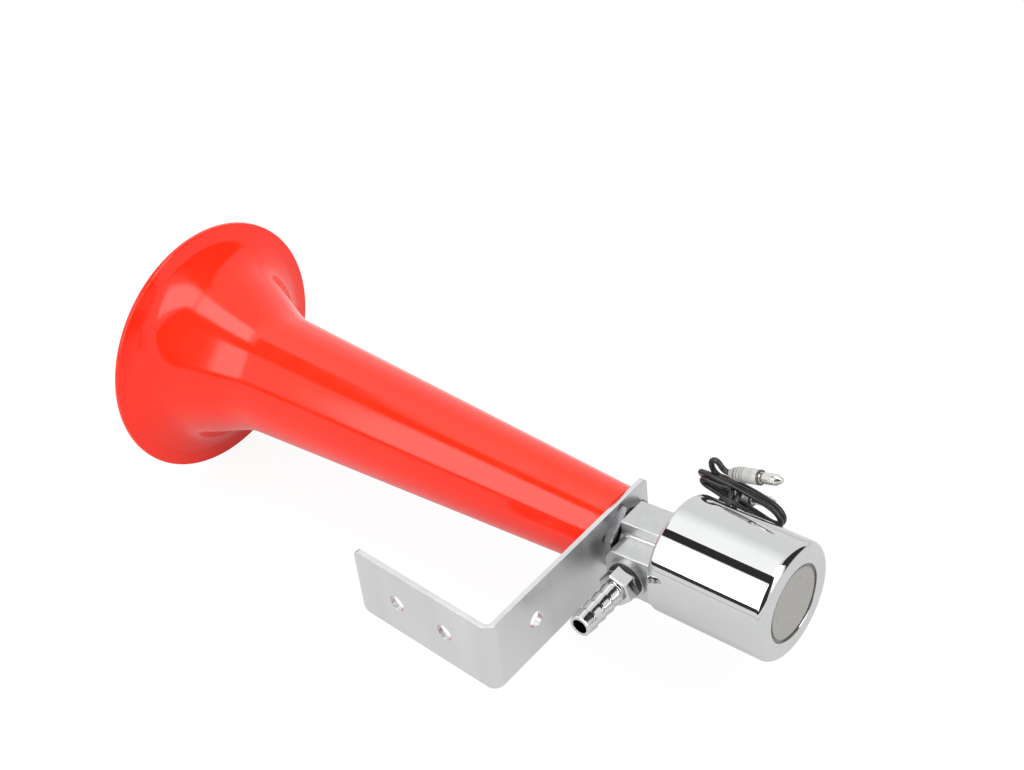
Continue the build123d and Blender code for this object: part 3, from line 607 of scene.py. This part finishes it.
# Lead A folds behind and lead B in front of it. Each comes straight out of the grommet, goes round
# one and a half turns, and ends in its connector. Points are in metres.
routeA = [
    (0.0596, 0.1065, 0.0144),
    (0.0568, 0.1071, 0.0146),
    (0.0524, 0.1068, 0.0146),
    (0.0484, 0.1065, 0.0147),
    (0.0455, 0.1063, 0.0148),
    (0.0440, 0.1062, 0.0133),
    (0.0457, 0.1063, 0.0118),
    (0.0499, 0.1066, 0.0108),
    (0.0549, 0.1070, 0.0092),
    (0.0604, 0.1073, 0.0076),
    (0.0669, 0.1078, 0.0060),
    (0.0723, 0.1082, 0.0044),
    (0.0761, 0.1085, 0.0056),
    (0.0776, 0.1085, 0.0096),
    (0.0751, 0.1083, 0.0132),
    (0.0700, 0.1079, 0.0150),
    (0.0638, 0.1075, 0.0162),
    (0.0579, 0.1069, 0.0171),
    (0.0530, 0.1065, 0.0170),
    (0.0498, 0.1062, 0.0168),
    (0.0478, 0.1056, 0.0197),
    (0.0478, 0.1052, 0.0237),
    (0.0504, 0.1054, 0.0251),
]
routeB = [
    (0.0567, 0.1052, 0.0152),
    (0.0531, 0.1045, 0.0147),
    (0.0491, 0.1042, 0.0147),
    (0.0461, 0.1040, 0.0148),
    (0.0441, 0.1039, 0.0135),
    (0.0456, 0.1040, 0.0119),
    (0.0496, 0.1043, 0.0110),
    (0.0545, 0.1046, 0.0096),
    (0.0600, 0.1051, 0.0080),
    (0.0665, 0.1056, 0.0064),
    (0.0720, 0.1060, 0.0046),
    (0.0761, 0.1063, 0.0054),
    (0.0779, 0.1064, 0.0092),
    (0.0756, 0.1063, 0.0129),
    (0.0705, 0.1059, 0.0148),
    (0.0643, 0.1054, 0.0160),
    (0.0580, 0.1050, 0.0170),
    (0.0520, 0.1046, 0.0171),
    (0.0473, 0.1046, 0.0172),
    (0.0451, 0.1052, 0.0162),
    (0.0416, 0.1058, 0.0150),
    (0.0424, 0.1088, 0.0096),
]
leadFacts = {
    "radius": 0.0011,
    "lengthA": 0.105,
    "lengthB": 0.108,
    "endRunA": 2.9,  # mm, straight before the connector
    "endRunB": 3.4,
    "roundSteps": 6,
    "runSteps": 12,
}


def makeLead(name, points, s):
    curve = bpy.data.curves.new(name, "CURVE")
    curve.dimensions = "3D"
    curve.bevel_depth = s["radius"]
    curve.bevel_resolution = s["roundSteps"]
    curve.resolution_u = s["runSteps"]
    curve.use_fill_caps = True
    spline = curve.splines.new("NURBS")
    spline.points.add(len(points) - 1)
    for target, point in zip(spline.points, points):
        target.co = (*point, 1)
    spline.order_u = 3
    spline.use_endpoint_u = True
    return addObject(name, curve)


exitRun = grommetOut * grommetPlace["exitRun"] * mm
endA = [mouthA - wayA * leadFacts["endRunA"] * mm, mouthA]
endB = [mouthB - wayB * leadFacts["endRunB"] * mm, mouthB]
leadA = makeLead("leadA", [exitA, exitA + exitRun, *routeA, *endA], leadFacts)
leadB = makeLead("leadB", [exitB, exitB + exitRun, *routeB, *endB], leadFacts)
dress(leadA, looks["leadSheath"], ["lead_a", "lead_hank", "lead_a_tail"])
dress(leadB, looks["leadSheath"], ["lead_b", "lead_hank", "lead_b_tail"])

# The floor glows a little where the camera and reflections see it, and keeps its shadows.
floorFacts = {
    "size": 8,
    "height": -0.0541,
    "colour": (0.56, 0.56, 0.56, 1),
    "rough": 0.9,
    "specular": 0.1,
    "glow": 1.08,
    "cameraShare": 0.85,
    "glossyShare": 0.3,
}


def makeFloor(s):
    deselectAll()
    bpy.ops.mesh.primitive_plane_add(size=s["size"], location=(0, 0, s["height"]))
    floor = bpy.context.object
    floor.name = "floor"
    paint, tree = newMaterial("floorPaint")
    shader = tree.nodes["Principled BSDF"]
    shader.inputs["Base Color"].default_value = s["colour"]
    shader.inputs["Roughness"].default_value = s["rough"]
    shader.inputs["Specular IOR Level"].default_value = s["specular"]
    glow = tree.nodes.new("ShaderNodeEmission")
    glow.inputs["Strength"].default_value = s["glow"]
    path = tree.nodes.new("ShaderNodeLightPath")
    cameraShare = addMath(tree, "MULTIPLY", s["cameraShare"])
    glossyShare = addMath(tree, "MULTIPLY_ADD", s["glossyShare"])
    mix = tree.nodes.new("ShaderNodeMixShader")
    tree.links.new(path.outputs["Is Camera Ray"], cameraShare.inputs[0])
    tree.links.new(path.outputs["Is Glossy Ray"], glossyShare.inputs[0])
    tree.links.new(cameraShare.outputs[0], glossyShare.inputs[2])
    tree.links.new(glossyShare.outputs[0], mix.inputs["Fac"])
    tree.links.new(shader.outputs[0], mix.inputs[1])
    tree.links.new(glow.outputs[0], mix.inputs[2])
    tree.links.new(mix.outputs[0], tree.nodes["Material Output"].inputs["Surface"])
    floor.data.materials.append(paint)
    print("floor laid")


makeFloor(floorFacts)

# The world lights the object softly, and shows plain white to the camera, in gloss and through glass.
worldFacts = {"colour": (1, 1, 1, 1), "soft": 0.8, "seen": 1.0}


def makeWorld(s):
    world = bpy.data.worlds.new("studio")
    bpy.context.scene.world = world
    world.use_nodes = True
    tree = world.node_tree
    soft = tree.nodes["Background"]
    soft.inputs["Color"].default_value = s["colour"]
    soft.inputs["Strength"].default_value = s["soft"]
    seen = tree.nodes.new("ShaderNodeBackground")
    seen.inputs["Color"].default_value = s["colour"]
    seen.inputs["Strength"].default_value = s["seen"]
    path = tree.nodes.new("ShaderNodeLightPath")
    cameraOrGloss = addMath(tree, "MAXIMUM")
    anySeen = addMath(tree, "MAXIMUM")
    mix = tree.nodes.new("ShaderNodeMixShader")
    tree.links.new(path.outputs["Is Camera Ray"], cameraOrGloss.inputs[0])
    tree.links.new(path.outputs["Is Glossy Ray"], cameraOrGloss.inputs[1])
    tree.links.new(cameraOrGloss.outputs[0], anySeen.inputs[0])
    tree.links.new(path.outputs["Is Transmission Ray"], anySeen.inputs[1])
    tree.links.new(anySeen.outputs[0], mix.inputs["Fac"])
    tree.links.new(soft.outputs[0], mix.inputs[1])
    tree.links.new(seen.outputs[0], mix.inputs[2])
    tree.links.new(mix.outputs[0], tree.nodes["World Output"].inputs["Surface"])


makeWorld(worldFacts)


def skyWay(azimuth, elevation):
    # azimuth 0 looks to the front (-Y) and 90 to +X
    a, e = math.radians(azimuth), math.radians(elevation)
    return (math.sin(a) * math.cos(e), -math.cos(a) * math.cos(e), math.sin(e))


# Softboxes, in metres and degrees: each faces its target from "way", and "turn" is about its own axis.
bellPoint = (-0.16, 0.05, 0.03)
bodyPoint = (0.0, 0.065, 0.015)
softboxes = {
    "frontBox": {
        "target": (-0.335, 0.06, 0.0), "way": skyWay(0, 37), "distance": 1.1,
        "width": 0.67, "height": 0.96, "radiance": 2.5, "turn": 0.0,
    },
    "sideBox": {
        "target": bellPoint, "way": (0.73, 0.045, 0.70), "distance": 1.2,
        "width": 0.54, "height": 1.45, "radiance": 3.0, "turn": 0.0,
    },
    "topBox": {
        "target": bellPoint, "way": (-0.07, -0.03, 1.0), "distance": 7.0,
        "width": 2.8, "height": 4.4, "radiance": 3.3, "turn": -20.0,
    },
}


def makeBox(name, s):
    away = Vector(s["way"]).normalized()
    light = bpy.data.lights.new(name, "AREA")
    light.shape = "RECTANGLE"
    light.size = s["width"]
    light.size_y = s["height"]
    light.energy = s["radiance"] * math.pi * s["width"] * s["height"]
    lamp = addObject(name, light)
    lamp.location = Vector(s["target"]) + away * s["distance"]
    facing = away.to_track_quat("Z", "Y").to_matrix()
    lamp.rotation_euler = (facing @ Matrix.Rotation(math.radians(s["turn"]), 3, "Z")).to_euler()


for boxName, boxFacts in softboxes.items():
    makeBox(boxName, boxFacts)

# Cards that only reflections see: target, distance in metres, finish and four corners. A corner is
# (x, degrees about X) or a direction from the target.
cards = {
    "gapCard": (bodyPoint, 1.33, "black", [(-1.5, 62), (0.7, 62), (0.7, 77.5), (-1.5, 76)]),
    "wideGapCard": (bodyPoint, 1.35, "black", [(-1.5, 75), (-0.77, 75), (-0.91, 93), (-1.5, 93)]),
    "lineCard": (bodyPoint, 1.2, "black", [(-0.9, 6), (0.2, 6), (0.2, 12.8), (-0.9, 12.8)]),
    "fadeCard": (bodyPoint, 6.5, "fading", [(-5.0, 75), (-2.1, 75), (-2.1, 135), (-5.0, 135)]),
    "cornerCard": (
        bellPoint, 1.6, "black", [skyWay(9, 5), skyWay(70, 12), skyWay(68, 68), skyWay(16, 62)],
    ),
    "backCard": (
        bellPoint, 1.6, "black", [skyWay(112, -3), skyWay(154, 0), skyWay(158, 66), skyWay(120, 72)],
    ),
}
blackFacts = {"colour": (0.05, 0.05, 0.05, 1), "specular": 0.0}
fadeFacts = {"nearY": 0.9, "farY": 4.2, "nearGlow": 1.42, "farGlow": 1.0}


def makeCardBlack(s):
    material, tree = newMaterial("cardBlack")
    shader = tree.nodes["Principled BSDF"]
    shader.inputs["Base Color"].default_value = s["colour"]
    shader.inputs["Specular IOR Level"].default_value = s["specular"]
    return material


def makeFadeGlow(s):
    # light that falls off from the near edge of the card to its far edge
    material, tree = newMaterial("fadeGlow")
    place = tree.nodes.new("ShaderNodeTexCoord")
    axes = tree.nodes.new("ShaderNodeSeparateXYZ")
    level = tree.nodes.new("ShaderNodeMapRange")
    level.interpolation_type = "SMOOTHSTEP"
    level.inputs["From Min"].default_value = s["nearY"]
    level.inputs["From Max"].default_value = s["farY"]
    level.inputs["To Min"].default_value = s["nearGlow"]
    level.inputs["To Max"].default_value = s["farGlow"]
    glow = tree.nodes.new("ShaderNodeEmission")
    tree.links.new(place.outputs["Object"], axes.inputs[0])
    tree.links.new(axes.outputs["Y"], level.inputs["Value"])
    tree.links.new(level.outputs[0], glow.inputs["Strength"])
    tree.links.new(glow.outputs[0], tree.nodes["Material Output"].inputs["Surface"])
    return material


cardLooks = {"black": makeCardBlack(blackFacts), "fading": makeFadeGlow(fadeFacts)}


def makeCard(name, target, distance, finish, corners):
    deselectAll()
    bpy.ops.mesh.primitive_plane_add(size=1)
    card = bpy.context.object
    card.name = name
    for index, corner in zip((0, 1, 3, 2), corners):  # a plane's corners, counted round its edge
        if len(corner) == 2:
            turn = math.radians(corner[1])
            place = Vector(target) + Vector((0, -math.cos(turn), math.sin(turn))) * distance
            place.x = corner[0]
        else:
            place = Vector(target) + Vector(corner).normalized() * distance
        card.data.vertices[index].co = place
    card.visible_camera = False
    card.visible_diffuse = False
    card.visible_transmission = False
    card.visible_shadow = False
    card.data.materials.append(cardLooks[finish])


for cardName, cardFacts in cards.items():
    makeCard(cardName, *cardFacts)
print("lamps and cards set")

cameraFacts = {
    "place": (0.359985, -0.281055, 0.457796),
    "turn": (51.47016, 5.46635, 42.42573),
    "lens": 64.278,
    "sensor": 36,
}


def makeCamera(s):
    cameraData = bpy.data.cameras.new("camera")
    cameraData.lens = s["lens"]
    cameraData.sensor_width = s["sensor"]
    cameraData.sensor_fit = "HORIZONTAL"
    camera = addObject("camera", cameraData)
    camera.location = s["place"]
    camera.rotation_euler = Euler([math.radians(angle) for angle in s["turn"]])
    bpy.context.scene.camera = camera


makeCamera(cameraFacts)
bpy.context.scene.view_settings.view_transform = "Standard"
print("camera set")
